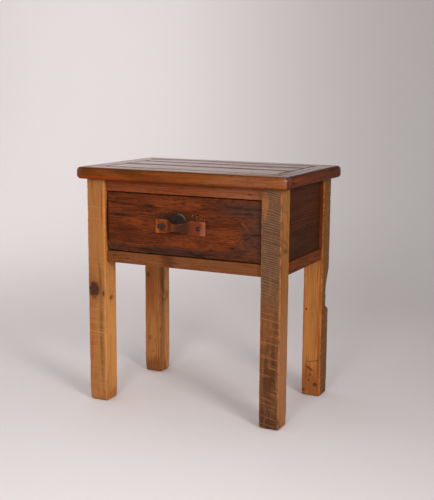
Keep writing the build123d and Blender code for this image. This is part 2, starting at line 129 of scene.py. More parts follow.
def start_tree(name, inputs):
    """Geometry Nodes tree with named inputs, each given by its usual value or its kind, and their wires."""
    kinds = {float: "Float", int: "Int", tuple: "Vector"}
    tree = bpy.data.node_groups.new(name, "GeometryNodeTree")
    for title, value in inputs.items():
        kind = kinds.get(type(value), value)
        entry = tree.interface.new_socket(title, in_out="INPUT", socket_type=f"NodeSocket{kind}")
        if kind != value:
            entry.default_value = value
    tree.interface.new_socket("Shape", in_out="OUTPUT", socket_type="NodeSocketGeometry")
    return tree, {s.name: Wire(s) for s in tree.nodes.new("NodeGroupInput").outputs if s.name}


def end_tree(shape, finish):
    real = shape.node("GeometryNodeRealizeInstances", values={"Geometry": shape})
    done = shape.node("GeometryNodeSetMaterial", values={"Geometry": real, "Material": finish})
    shape.tree.links.new(done.socket, shape.tree.nodes.new("NodeGroupOutput").inputs[0])


def shaped(block, marks, place):
    """A block that stores marks on its points and then moves them into place."""
    for title, mark in marks.items():
        values = {"Geometry": block, "Name": title, "Value": mark}
        block = place.node("GeometryNodeStoreNamedAttribute", {"data_type": "FLOAT"}, values)
    block = place.node("GeometryNodeSetPosition", values={"Geometry": block, "Position": place})
    return place.node("GeometryNodeSetShadeSmooth", values={"Geometry": block})


def both(first, second):
    pair = first.node("GeometryNodeJoinGeometry", values={0: first})
    pair.tree.links.new(second.socket, pair.socket.node.inputs[0])
    return pair


def moved(shape, place, turn=(0.0, 0.0, 0.0)):
    values = {"Geometry": shape, "Translation": place, "Rotation": turn}
    return shape.node("GeometryNodeTransform", values=values)


def drawn_in(past_x, past_y):
    """Pull that makes a square corner round, from how far a point is past the corner's middle."""
    past = past_x.joined(past_y, 0.0).length().most(1e-6)
    return (past_x.most(past_y) / past - 1.0) * (past_x * past_y * 1e9).least(1.0)


def grown(tree, name, values, points=()):
    """Plain mesh that a tree makes from values, and from points if it works on some."""
    seed_mesh = bpy.data.meshes.new(name)
    seed_mesh.from_pydata([tuple(point) for point in points], [], [])
    carrier = bpy.data.objects.new(name, seed_mesh)
    bpy.context.scene.collection.objects.link(carrier)
    shaping = carrier.modifiers.new("shaping", "NODES")
    shaping.node_group = tree
    for entry in tree.interface.items_tree:
        if entry.in_out == "INPUT" and entry.name in values:
            shaping[entry.identifier] = values[entry.name]
    carrier.update_tag()
    ready = carrier.evaluated_get(bpy.context.evaluated_depsgraph_get())
    mesh = bpy.data.meshes.new_from_object(ready)
    bpy.data.objects.remove(carrier)
    return mesh


# Sawn timber: a block with rounded, worn arrises, a slightly uneven surface, saw kerfs on the faces
# that ask for them, and where asked mitred ends, rounded corners, an open joint or a lost chip.
# Local X runs along the grain, local Z is the show face, and low Y is the outer edge. A brink is the
# strip of the show face beside a joint or an outer edge, where the wax is rubbed off and shade is painted.
sawn_timber, asked = start_tree("sawn_timber", {
    "Size": (1.0, 0.1, 0.02), "Place": (0.0, 0.0, 0.0), "Turn": (0.0, 0.0, 0.0),
    "Steps along": 200, "Steps across": 20, "Steps through": 12,
    "Arris": 0.002, "Wear": 0.001, "Outer edge": 0.002, "End arris": 0.001, "Foot wear": 0.0,
    "Unevenness": 0.0003, "Mitre": 0.0, "Low corner": 0.0, "High corner": 0.0, "Tongue": 0.0,
    "Low brink": 0.0, "High brink": 0.0, "Kerf pitch": 0.007, "Kerf depth": 0.0005, "Kerf slope": 0.08,
    "Low kerf gaps": 0.4, "High kerf gaps": 0.4,
    "Sawn face": 0.0, "Sawn back": 0.0, "Sawn left": 0.0, "Sawn right": 0.0,
    "Chip": (0.0, 0.0, 0.0), "Chip reach": (0.0, 0.017, 0.024), "Seed": 0.0, "Finish": "Material",
})


def draw_sawn_timber():
    seed = asked["Seed"]
    half_x, half_y, half_z = (asked["Size"] * 0.5).parts()
    steps = (asked["Steps along"], asked["Steps across"], asked["Steps through"])
    counts = dict(zip(("Vertices X", "Vertices Y", "Vertices Z"), steps))
    block = seed.node("GeometryNodeMeshCube", values={"Size": (2.0, 2.0, 2.0), **counts})
    unit = seed.node("GeometryNodeInputPosition").parts()
    band = (asked["Arris"] + asked["Wear"]).most(asked["Outer edge"])

    def spread(share, half, step, edge):
        # Three rows of faces at each end lie inside the edge's rounding
        flat = 1 - 6 / (step - 1)
        reach = share.size()
        inner = (reach / flat).least(1.0) * (half - edge)
        outer = ((reach - flat) / (1 - flat)).most(0.0) * edge
        return (inner + outer) * share.sign()

    x = spread(unit[0], half_x, steps[0], asked["End arris"])
    y = spread(unit[1], half_y, steps[1], band)
    z = spread(unit[2], half_z, steps[2], band)
    spot = x.joined(y, z)
    drift = spot + seed.joined(seed * 0.7, seed * 1.3)

    # Worn arrises: a rounding that swells and shrinks along the edge
    worn = drift.noise((26.0, 40.0, 40.0), 3.0).ramp(0.4, 0.72)
    outer_round = (y * -1e6).ramp(0.0, 1.0) * (asked["Outer edge"] - asked["Arris"]).most(0.0)
    foot_top, foot_low = 0.045, 0.004
    rubbed = asked["Foot wear"] * x.ramp(foot_top - half_x, foot_low - half_x)
    radius = asked["Arris"] + asked["Wear"] * worn + outer_round + rubbed
    end_radius = asked["End arris"] + rubbed
    core = x.inside(half_x, end_radius).joined(y.inside(half_y, radius), z.inside(half_z, radius))
    radii = end_radius.joined(radius, radius)
    outward = (spot - core) / radii
    outward = outward.sum("NORMALIZE", outward)
    spot = core + outward * radii

    # Hand-worked surface, and saw kerfs in shallow arcs across the grain
    hollow = drift.noise((9.0, 26.0, 26.0)) - 0.5
    spot = spot + outward * (hollow * asked["Unevenness"] * 2.0)
    out_x, out_y, out_z = outward.parts()
    sawn = 0.0
    for title, facing in (("face", out_z), ("back", out_z * -1.0), ("left", out_y), ("right", out_y * -1.0)):
        sawn = facing.most(0.0) ** 2.0 * asked[f"Sawn {title}"] + sawn
    sideways = y * out_z.size() + z * out_y.size()
    wander = x.joined(seed, seed * 2.0).noise((17.0, 1.0, 1.0), 3.0) * 5.0
    swing = x.joined(seed, seed * 4.0).noise((7.0, 1.0, 1.0)) + 0.5
    arc = x + sideways * swing * asked["Kerf slope"] + sideways * sideways * 1.1
    phase = arc / asked["Kerf pitch"] + wander + drift.noise((30.0, 40.0, 40.0)) * 0.35
    groove = 1.0 - (phase.rest() * 2.0 - 1.0).size()
    bite = phase.joined(sideways * 9.0, seed).noise((0.45, 1.0, 1.0), 3.0)
    high_share = x.ramp(-0.03, 0.03)
    gaps = asked["Low kerf gaps"] * (1.0 - high_share) + asked["High kerf gaps"] * high_share
    kerf = groove.ramp(0.35 + high_share * 0.15, 0.9) * bite.ramp(gaps - 0.05, gaps + 0.1) * sawn
    spot = spot - outward * (kerf * asked["Kerf depth"])

    # Chip along the rear right arris: a slanting face that starts in a step and runs out upwards
    chip_start, chip_full, chip_end = asked["Chip"].parts()
    share = (x - chip_start).ramp(0.0, 0.02) * x.ramp(chip_end, chip_full)
    share = share * (x.joined(seed * 3.0, seed).noise((55.0, 1.0, 1.0), 3.0) * 0.5 + 0.75)
    _, place_y, place_z = spot.parts()
    _, reach_y, reach_z = asked["Chip reach"].parts()
    short = (share - (place_y + half_y) / reach_y - (place_z + half_z) / reach_z).most(0.0)
    push = short / (1.0 / (reach_y * reach_y) + 1.0 / (reach_z * reach_z))
    spot = spot + (x * 0.0).joined(push / reach_y, push / reach_z)

    # Mitred ends, and corners rounded in plan
    place_x, place_y, place_z = spot.parts()
    from_edge = place_y + half_y
    place_x = place_x * (1.0 - asked["Mitre"] * from_edge / half_x)
    at_high = (place_x * 1e6).ramp(0.0, 1.0)
    corner = asked["Low corner"] + (asked["High corner"] - asked["Low corner"]) * at_high
    past_x = (place_x.size() - half_x + corner).most(0.0)
    past_y = (corner - from_edge).most(0.0)
    pull = drawn_in(past_x, past_y)
    place_x = place_x + past_x * pull * place_x.sign()
    spot = place_x.joined(place_y - past_y * pull, place_z)

    # What the finish needs to know: worn edges, sawn faces, kerfs, end grain and torn wood
    depths = [half_x - x.size(), half_y - y.size(), half_z - z.size()]
    deepest = depths[0].most(depths[1]).most(depths[2])
    shallowest = depths[0].least(depths[1]).least(depths[2])
    from_arris = depths[0] + depths[1] + depths[2] - deepest - shallowest
    low_brink, high_brink = asked["Low brink"], asked["High brink"]
    brink = (half_y + y).ramp(low_brink, low_brink * 0.3)
    brink = brink.most((half_y - y).ramp(high_brink, high_brink * 0.3))
    marks = {
        "arris": from_arris.ramp(0.0055, 0.0005) * drift.noise((110.0, 60.0, 60.0), 3.0).ramp(0.35, 0.7),
        "brink": brink.most(depths[0].ramp(0.004, 0.001)),
        "show": out_z.most(0.0) ** 2.0,
        "sawn": sawn,
        "kerf": kerf,
        "endgrain": out_x.size() ** 4.0,
        "torn": short.ramp(0.02, 0.12),
    }
    shape = shaped(block, marks, spot)

    # Tongue all round, that closes an open joint below its surface
    more = asked["Tongue"] * 2.0
    slab = (half_x * 2.0 + more).joined(half_y * 2.0 + more, more.least(0.008))
    tongue = seed.node("GeometryNodeMeshCube", values={"Size": slab})
    cut = seed.node("FunctionNodeCompare", values={0: asked["Tongue"], 1: 0.0})
    tongue = seed.node("GeometryNodeSwitch", values={"Switch": cut, "True": tongue})
    end_tree(moved(both(shape, tongue), asked["Place"], asked["Turn"]), asked["Finish"])


draw_sawn_timber()


def shown(name, mesh, body, slot, *nodes):
    """A finished piece that moves with a body and stands for CAD nodes."""
    piece = bpy.data.objects.new(name, mesh)
    bpy.context.scene.collection.objects.link(piece)
    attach(piece, body)
    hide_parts(*nodes)


def laid(along, face):
    """Turn that lays local X along one axis with local Z to another."""
    along, face = Vector(along), Vector(face)
    return Matrix((along, face.cross(along), face)).transposed()


def timber_mesh(name, low, high, along, face, finish, row=0.002, **asked_for):
    """Board or post that fills a box, with points in rows a given step apart along it."""
    cross_row = 0.004
    turn = laid(along, face)
    size = Vector(abs(value) for value in turn.transposed() @ (high - low))
    values = {
        "Size": size,
        "Place": (low + high) / 2,
        "Turn": Vector(turn.to_euler()),
        "Steps along": max(9, round(size.x / row) + 6),
        "Steps across": max(9, round(size.y / cross_row) + 6),
        "Steps through": max(9, round(size.z / cross_row) + 6),
        "Finish": finish,
    }
    values.update({title.replace("_", " ").capitalize(): value for title, value in asked_for.items()})
    values.setdefault("Outer edge", values.get("Arris", 0.002))
    return grown(sawn_timber, name, values)


def tone(red, green, blue):
    """Colour as it looks on a screen, 0 to 255, made linear."""
    shares = [value / 255 for value in (red, green, blue)]
    return [s / 12.92 if s <= 0.04045 else ((s + 0.055) / 1.055) ** 2.4 for s in shares] + [1.0]


def start_finish(name):
    """New material, its shader, and the place on the piece as a wire."""
    material = bpy.data.materials.new(name)
    material.use_nodes = True
    nodes = material.node_tree.nodes
    return material, nodes["Principled BSDF"], Wire(nodes.new("ShaderNodeTexCoord").outputs["Object"])


def timber(name, along, light, dark, seed, ring=0.005, pith=(0.06, 0.02), streak=0.4, figure=0.3, mottle=0.5,
           fleck=0.0, sawn=None, kerf=None, worn=None, patches=(), knots=(), holes_and_shade=(), scars_and_painted_light=(), rough=0.48,
           gloss=0.05, wax=0.0, polish=()):
    """Oiled solid wood: growth rings round a pith line, fibre streaks, patches, knots, holes, worn edges.
    Patches, knots and holes give a middle, a reach along each axis, None for right through, and a tone.
    Scars give two ends, a width and a tone. All tones are as on a screen, 0 to 255. Some patches, holes
    and scars are painted shade, and some scars painted highlights."""
    material, shader, spot = start_finish(name)
    light, dark = tone(*light), tone(*dark)

    def far(middle, reach):
        return ((spot - middle) * tuple(1.0 / r if r else 0.0 for r in reach)).length()

    def deep(share, shade=dark):
        return [share * channel for channel in shade[:3]] + [1.0]

    # Growth rings lie round the pith and bow round every knot
    drift = spot + (seed * 1.7, seed * 0.9, seed * 2.3)

    def grain(lengthways, crossways, *detail):
        return drift.noise(tuple(lengthways if axis == along else crossways for axis in range(3)), *detail)

    ragged = drift.noise((130.0, 130.0, 130.0), 3.0) * 0.8 + 0.6
    bow = 0.0
    for middle, reach, _ in knots:
        bow = (far(middle, reach) * ragged).ramp(3.4, 0.4) * (min(r for r in reach if r) * 1.1) + bow
    sides = [place for axis, place in enumerate(spot.parts()) if axis != along]
    first = sides[0] - pith[0] + (grain(2.2, 9.0) - 0.5) * 0.05
    second = sides[1] - pith[1] + (grain(1.4, 6.0) - 0.5) * 0.05
    growth = (first.joined(second, 0.0).length() + bow) / ring + grain(6.0, 120.0) * 0.8
    growth = growth.rest()
    late = growth.ramp(0.35, 0.92) * growth.ramp(1.0, 0.94)
    fibre = grain(9.0, 520.0, 4.0, 0.62)
    vein = grain(22.0, 1500.0)
    broad = grain(2.2, 17.0, 3.0)
    flame = grain(8.0, 95.0, 4.0, 0.65)
    check = (grain(3.0, 85.0, 1.0) - 0.5).size().ramp(0.006, 0.001) * broad.ramp(0.5, 0.62)

    colour = (late * (0.25 + 0.6 * streak)).between(light, dark)

    def stain(share, shade, way="MIX"):
        nonlocal colour
        colour = share.between(colour, shade, way)

    stain(fibre.ramp(0.42, 0.72) * streak, dark)
    stain(vein.ramp(0.56, 0.7) * streak * 0.8, deep(0.4))
    stain(broad.ramp(0.56, 0.34) * mottle, (0.6, 0.52, 0.46, 1.0), "MULTIPLY")
    stain(broad.ramp(0.52, 0.7) * mottle, (1.28, 1.2, 1.1, 1.0), "MULTIPLY")
    if sawn:
        grime = grain(13.0, 120.0, 4.0, 0.7)
        stain(spot.mark("sawn") * (0.97 - grime.ramp(0.52, 0.8) * 0.15), tone(*sawn))
        stain(spot.mark("sawn") * grime.ramp(0.5, 0.3) * 0.6, (0.5, 0.46, 0.44, 1.0), "MULTIPLY")
    for middle, reach, shade, share in patches:
        frayed = far(middle, reach) + (flame - 0.5) * 3.0
        stain(frayed.ramp(1.3, 0.4) * share, tone(*shade))
    stain(flame.ramp(0.54, 0.66) * figure, light)
    stain(flame.ramp(0.46, 0.36) * figure, deep(0.6))
    if fleck:
        smudge = grain(26.0, 80.0, 3.0, 0.7)
        stain(smudge.ramp(0.54, 0.7) * fleck * 0.6, light)
        stain(smudge.ramp(0.46, 0.3) * fleck * 0.7, deep(0.5))
        spark = grain(45.0, 230.0, 3.0, 0.7)
        stain(spark.ramp(0.57, 0.69) * fleck, (2.1, 1.7, 1.2, 1.0), "MULTIPLY")
        stain(spark.ramp(0.44, 0.33) * fleck, deep(0.5))
    stain(check * 0.8, deep(0.25))
    if kerf:
        low_kerf, high_kerf = (tone(*shade) for shade in kerf)
        height = spot.parts()[2].ramp(0.24, 0.36)
        stain(spot.mark("kerf") * 0.85, height.between(low_kerf, high_kerf))
    if worn:
        stain(spot.mark("arris") * 0.85, tone(*worn))
        stain(spot.mark("torn") * 0.4, tone(*worn))
    swirl = drift.noise((150.0, 150.0, 150.0), 3.0).ramp(0.3, 0.75)
    for middle, reach, shade in knots:
        away = far(middle, reach) * ragged
        stain(away.ramp(2.2, 0.9) * 0.5, deep(0.75))
        shades = swirl.between(deep(0.5, tone(*shade)), tone(*shade))
        stain(away.ramp(1.15, 0.6) * 0.95, shades)
    for middle, reach, shade in holes_and_shade:
        stain((far(middle, reach) * ragged).ramp(1.2, 0.6) * 0.9, tone(*shade))
    broken = drift.noise((420.0, 420.0, 420.0), 3.0) * 1.6 + 0.3
    for start, end, width, shade in scars_and_painted_light:
        run = Vector(end) - Vector(start)
        from_start = spot - start
        share = from_start.sum("DOT_PRODUCT", from_start, run / run.length_squared, output=1)
        share = share.most(0.0).least(1.0)
        aside = (from_start - share.joined(share, share) * run).length() / width
        stain((aside * broken).ramp(1.3, 0.4) * 0.8, tone(*shade))
    stain(spot.mark("endgrain") * 0.6, (0.45, 0.38, 0.34, 1.0), "MULTIPLY")
    # Painted shade: the brinks are darkened for the shade in the joints and the sheen the rounded edges lose
    if wax:
        stain(spot.mark("brink") * spot.mark("show") * 0.8, deep(0.4))
    colour.into(shader, "Base Color")

    dull = fibre * 0.16 + broad.ramp(0.7, 0.3) * 0.1 + spot.mark("kerf") * 0.25 + (rough - 0.1)
    dull.into(shader, "Roughness")
    height = fibre * 0.55 + vein.ramp(0.62, 0.5) * 0.25 - late * 0.3 - check * 1.5
    height.bump(shader, 0.35, 0.0008)
    shader.inputs["Specular IOR Level"].default_value = gloss
    if wax:
        rubbed = grain(5.0, 150.0, 4.0, 0.6).ramp(0.38, 0.54) * 0.75 + 0.25
        coat = spot.mark("show") * rubbed * (1.0 - spot.mark("brink") * 0.9) * wax
        for corner in polish:
            coat = coat.most((spot - corner).length().ramp(0.028, 0.012))
        coat.into(shader, "Coat Weight")
        shader.inputs["Coat Roughness"].default_value = 0.12
        shader.inputs["Coat IOR"].default_value = 1.4
    return material


def fitted(node, title, slot, low, high, along, face, seed, wood, body="table", **asked_for):
    """A board or post of its own wood that fills a box and stands for a CAD node."""
    axis = 2 if along[2] else 1 if along[1] else 0
    finish = timber(f"{node}_wood", axis, seed=seed, **wood)
    mesh = timber_mesh(node, low, high, along, face, finish, seed=seed, **asked_for)
    shown(f"{node}_{title}", mesh, body, slot, node)


upward = (0, 0, 1)
to_front = (0, -1, 0)
to_right = (1, 0, 0)
# Knots, stains, holes and scars lie where the posts show them; some patches, holes and scars are painted
# light and shade, noted where they stand
post_woods = {
    "leg_front_left": {
        "light": (174, 117, 66), "dark": (140, 89, 48), "pith": (-0.215, -0.14), "streak": 0.15,
        "sawn": (163, 104, 55), "kerf": ((184, 129, 74), (190, 138, 82)), "worn": (196, 132, 74),
        "knots": (
            ((-0.266, -0.18, 0.315), (0.018, None, 0.024), (86, 50, 40)),
            ((-0.236, -0.18, 0.306), (0.004, None, 0.008), (132, 66, 36)),
            ((-0.229, -0.152, 0.29), (None, 0.007, 0.006), (170, 84, 34)),
        ),
        "patches": (
            # Painted light: this brighter patch on the right face, below the rails, stands for light falling
            # on it there
            ((-0.229, -0.15, 0.18), (0.006, 0.05, 0.24), (212, 142, 73), 0.9),
            ((-0.229, -0.177, 0.50), (0.006, 0.02, 0.12), (198, 114, 44), 0.8),
            ((-0.28, -0.18, 0.16), (0.012, 0.012, 0.14), (166, 88, 38), 0.8),
            ((-0.244, -0.18, 0.19), (0.006, 0.012, 0.16), (120, 75, 40), 0.7),
            ((-0.232, -0.18, 0.12), (0.004, 0.012, 0.13), (180, 126, 76), 0.5),
            ((-0.238, -0.18, 0.55), (0.0025, 0.012, 0.05), (120, 70, 36), 0.7),
            ((-0.24, -0.15, 0.015), (0.03, 0.05, 0.02), (150, 78, 36), 0.6),
        ),
        # Painted shade: the dark entry below is no hole but the shadow in the gap beside the drawer
        "holes_and_shade": (((-0.229, -0.160, 0.505), (0.004, 0.0135, 0.086), (34, 18, 10)),),
    },
    "leg_front_right": {
        "light": (160, 106, 50), "dark": (112, 70, 32), "pith": (0.30, -0.11), "streak": 0.35,
        "figure": 0.15, "fleck": 0.4,
        "sawn": (100, 64, 40), "kerf": ((168, 100, 54), (126, 96, 72)), "worn": (180, 102, 54),
        "patches": (
            ((0.256, -0.18, 0.50), (0.05, 0.01, 0.16), (86, 59, 43), 0.8),
            ((0.237, -0.18, 0.575), (0.014, 0.01, 0.030), (150, 92, 40), 0.7),
            ((0.256, -0.18, 0.01), (0.05, 0.02, 0.05), (66, 43, 32), 0.8),
            ((0.262, -0.18, 0.14), (0.03, 0.01, 0.07), (74, 44, 28), 0.8),
            ((0.24, -0.18, 0.27), (0.03, 0.01, 0.05), (128, 76, 40), 0.5),
            ((0.284, -0.15, 0.17), (0.01, 0.05, 0.16), (160, 106, 72), 0.7),
        ),
        "knots": (((0.284, -0.152, 0.461), (None, 0.011, 0.005), (112, 72, 30)),),
        "scars_and_painted_light": (
            ((0.284, -0.166, 0.489), (0.284, -0.140, 0.476), 0.0030, (108, 72, 34)),
            ((0.284, -0.168, 0.566), (0.284, -0.146, 0.556), 0.0024, (120, 82, 40)),
        ),
    },
    "leg_rear_left": {
        "light": (182, 117, 65), "dark": (137, 83, 42), "pith": (-0.20, 0.19), "streak": 0.35,
        "sawn": (146, 96, 56), "kerf": ((82, 52, 32), (82, 52, 32)), "worn": (126, 72, 34),
        "knots": (
            ((-0.274, 0.125, 0.300), (0.005, None, 0.007), (146, 88, 44)),
            ((-0.267, 0.125, 0.105), (0.0035, None, 0.005), (142, 86, 44)),
            ((-0.229, 0.15, 0.235), (None, 0.014, 0.010), (206, 148, 86)),
        ),
        "patches": (
            ((-0.265, 0.125, 0.24), (0.012, 0.012, 0.08), (160, 84, 40), 0.7),
            ((-0.229, 0.137, 0.28), (0.01, 0.007, 0.12), (108, 64, 40), 0.8),
            # Painted light: this brighter patch on the right face stands for light falling on it
            ((-0.229, 0.165, 0.15), (0.01, 0.02, 0.3), (216, 154, 94), 0.8),
            ((-0.26, 0.13, 0.01), (0.04, 0.05, 0.035), (124, 68, 32), 0.8),
        ),
    },
    "leg_rear_right": {
        "light": (198, 128, 66), "dark": (150, 91, 43), "pith": (0.21, 0.11), "streak": 0.35,
        "sawn": (110, 74, 38), "kerf": ((66, 46, 26), (66, 46, 26)), "worn": (190, 114, 54),
        "holes_and_shade": (
            ((0.239, 0.125, 0.250), (0.0032, None, 0.0036), (60, 34, 20)),
            ((0.254, 0.125, 0.060), (0.0040, None, 0.0032), (116, 66, 33)),
            ((0.251, 0.125, 0.045), (0.0036, None, 0.0038), (104, 58, 29)),
            ((0.270, 0.125, 0.034), (0.0075, None, 0.0060), (94, 54, 29)),
            ((0.235, 0.125, 0.015), (0.0045, None, 0.0050), (122, 58, 34)),
        ),
        "scars_and_painted_light": (
            ((0.246, 0.125, 0.083), (0.260, 0.125, 0.075), 0.0036, (84, 45, 22)),
            ((0.249, 0.125, 0.098), (0.280, 0.125, 0.106), 0.0014, (98, 54, 27)),
            # Painted shade: this dark band on the front face beside the side panel, under the top, is painted
            # shadow
            ((0.275, 0.125, 0.425), (0.275, 0.125, 0.610), 0.0080, (84, 33, 10)),
        ),
        "patches": (
            ((0.255, 0.125, 0.25), (0.006, 0.012, 0.2), (170, 122, 66), 0.6),
            ((0.279, 0.125, 0.2), (0.005, 0.012, 0.4), (146, 74, 30), 0.8),
            ((0.232, 0.125, 0.24), (0.006, 0.012, 0.08), (182, 94, 52), 0.6),
            # Painted shade: the strip beside the side panel is darkened where the top and the panel shade it
            ((0.280, 0.125, 0.52), (0.012, 0.012, 0.17), (122, 64, 26), 0.8),
            ((0.255, 0.125, 0.03), (0.05, 0.02, 0.06), (138, 75, 38), 0.7),
        ),
    },
}
post_saw_marks = {
    "leg_front_left": {
        "sawn_face": 0.7, "sawn_back": 0.5, "kerf_depth": 0.0004, "kerf_slope": -0.03, "kerf_pitch": 0.006,
        "low_kerf_gaps": 0.48, "high_kerf_gaps": 0.6, "foot_wear": 0.004,
    },
    "leg_front_right": {
        "sawn_face": 1.0, "sawn_back": 0.7, "kerf_depth": 0.0006, "kerf_slope": -0.16, "kerf_pitch": 0.0055,
        "low_kerf_gaps": 0.54, "high_kerf_gaps": 0.38, "foot_wear": 0.0025,
    },
    "leg_rear_left": {"sawn_back": 0.8, "sawn_left": 0.8, "foot_wear": 0.004},
    "leg_rear_right": {"sawn_right": 0.9, "sawn_back": 0.8, "kerf_depth": 0.0004, "foot_wear": 0.002},
}
chip_heights = Vector((0.241, 0.305, 0.382))
for number, (node, wood) in enumerate(post_woods.items(), 1):
    low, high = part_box(node)
    middle = (low.z + high.z) / 2
    chip = chip_heights - Vector((middle, middle, middle)) if node == "leg_rear_right" else Vector()
    fitted(node, "sawn", "post_wood", low, high, upward, to_front, number, wood, row=0.0012, arris=0.003,
           wear=0.0018, end_arris=0.0025, unevenness=0.0004, chip=chip, **post_saw_marks[node])

# Rails
# Rails of the same old timber, tenoned between the posts and set back behind their faces.
# The front pair frames the drawer, the side and rear ones carry the panels and the runners.
rail_tuck = 0.001
post_low, post_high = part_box("leg_front_left")[1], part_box("leg_rear_right")[0]
faces = {"front": to_front, "rear": (0, 1, 0), "left": (-1, 0, 0), "right": to_right}
runs = {"front": to_right, "rear": (-1, 0, 0), "left": (0, -1, 0), "right": (0, 1, 0)}
usual_rail = ((140, 78, 42), (84, 40, 22))
rail_tones = {
    "front_upper_rail": ((136, 70, 38), (86, 39, 20)),
    "front_lower_rail": ((124, 73, 42), (78, 42, 24)),
    "right_lower_rail": ((112, 57, 24), (66, 32, 14)),
}
rail_patches = {
    "front_upper_rail": (((0.18, -0.17, 0.60), (0.10, 0.02, 0.03), (138, 84, 56), 0.8),),
    "front_lower_rail": (((-0.043, -0.17, 0.404), (0.024, 0.02, 0.04), (84, 43, 26), 0.8),
                         ((-0.115, -0.17, 0.392), (0.058, 0.02, 0.028), (126, 75, 44), 0.7)),
}
for number, node in enumerate(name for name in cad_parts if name.endswith("_rail")):
    side = node.split("_")[0]
    axis = 0 if side in ("front", "rear") else 1
    light, dark = rail_tones.get(node, usual_rail)
    low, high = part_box(node)
    low[axis] = post_low[axis] - rail_tuck
    high[axis] = post_high[axis] + rail_tuck
    wood = dict(light=light, dark=dark, ring=0.0045, streak=0.35, worn=light, gloss=0.03, fleck=0.3,
                pith=(low[1 - axis] - 0.02, low.z - 0.01), patches=rail_patches.get(node, ()))
    fitted(node, "board", "rail_wood", low, high, runs[side], faces[side], 10 + number, wood, row=0.0025,
           arris=0.0015, wear=0.0012)

# Panels
# Two dark boards a side, tongued together and held in grooves of the posts and rails.
# They sit well back, under the overhang of the top.
panel_tones = {"upper": ((79, 40, 19), (43, 20, 10)), "lower": ((71, 38, 19), (40, 20, 10))}
for number, node in enumerate(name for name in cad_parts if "_panel_" in name):
    side = node.split("_")[0].replace("back", "rear")
    axis = 0 if side == "rear" else 1
    low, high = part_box(node)
    if "lower" in node:
        high.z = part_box(node.replace("lower", "upper"))[0].z
    light, dark = panel_tones[node.split("_")[2]]
    wood = dict(light=light, dark=dark, ring=0.006, pith=(low[1 - axis] - 0.03, low.z - 0.05),
                worn=(84, 47, 28), gloss=0.03)
    fitted(node, "plank", "panel_wood", low, high, runs[side], faces[side], 30 + number, wood, row=0.003,
           arris=0.001, wear=0.001)

# Runners, kickers, stops and pegs
# Plain pale bearers stub tenoned between the front and rear rails: the drawer slides on the runners
# and is kept level by the kickers, glued blocks stop it at the back and two pegs end its travel.


def planed(node, body, slot, ease, along, **wood):
    """The CAD shape as one clean mesh with its arrises taken off, and with its wood. The mesh notes
    arrises and end grain."""
    shape = bmesh.new()
    shape.from_mesh(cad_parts[node].data)
    bmesh.ops.remove_doubles(shape, verts=shape.verts, dist=1e-6)
    bmesh.ops.dissolve_limit(shape, angle_limit=0.01, verts=shape.verts, edges=shape.edges)
    arris = shape.faces.layers.float.new("arris")
    endgrain = shape.faces.layers.float.new("endgrain")
    sharp = [edge for edge in shape.edges if edge.is_manifold and edge.calc_face_angle(0.0) > 0.5]
    eased = bmesh.ops.bevel(shape, geom=sharp, offset=ease, segments=2, profile=0.5, affect="EDGES",
                            clamp_overlap=True)
    for face in eased["faces"]:
        face[arris] = 0.6
    for face in shape.faces:
        face[endgrain] = abs(face.normal[along]) ** 4
    bmesh.ops.triangulate(shape, faces=[face for face in shape.faces if len(face.verts) > 4])
    mesh = bpy.data.meshes.new(node)
    shape.to_mesh(mesh)
    shape.free()
    mesh.materials.append(timber(f"{node}_wood", along, **wood))
    shown(f"{node}_planed", mesh, body, slot, node)


# Each piece with the axis that its grain follows
bearers = {
    "left_runner": 1, "right_runner": 1, "left_kicker": 1, "right_kicker": 1, "rear_stop_blocks": 1,
    "travel_stop_pegs": 2,
}
for number, (node, along) in enumerate(bearers.items()):
    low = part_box(node)[0]
    planed(node, "table", "inner_wood", 0.0006, along, light=(190, 148, 98), dark=(146, 102, 60),
           seed=50 + number, ring=0.004, pith=(low.x - 0.02, low[3 - along] - 0.03), streak=0.25, mottle=0.3,
           worn=(206, 168, 118), rough=0.6)

# Top
# Four border boards mitred at the corners, their outer edges rounded above and below, round three
# planks that are tongued into them and into each other with open, round-edged joints. All waxed.
plank_gap = 0.0018
joint_round = 0.005
border_round = 0.010
corner_round = 0.012
rubbed_depth = 0.006
usual_border = ((134, 71, 30), (98, 49, 20))
border_tones = {"top_right_board": ((94, 41, 15), (60, 26, 10))}
border_patches = {
    "top_front_board": (
        ((-0.28, -0.2, 0.636), (0.06, 0.03, 0.012), (94, 48, 13), 0.8),
        ((-0.14, -0.2, 0.640), (0.05, 0.03, 0.009), (88, 46, 13), 0.8),
        ((-0.22, -0.2, 0.622), (0.10, 0.03, 0.006), (150, 60, 17), 0.7),
        ((0.20, -0.2, 0.632), (0.13, 0.03, 0.02), (132, 80, 52), 0.8),
    ),
    "top_right_board": (((0.305, -0.13, 0.640), (0.02, 0.05, 0.008), (132, 54, 22), 0.7),),
}
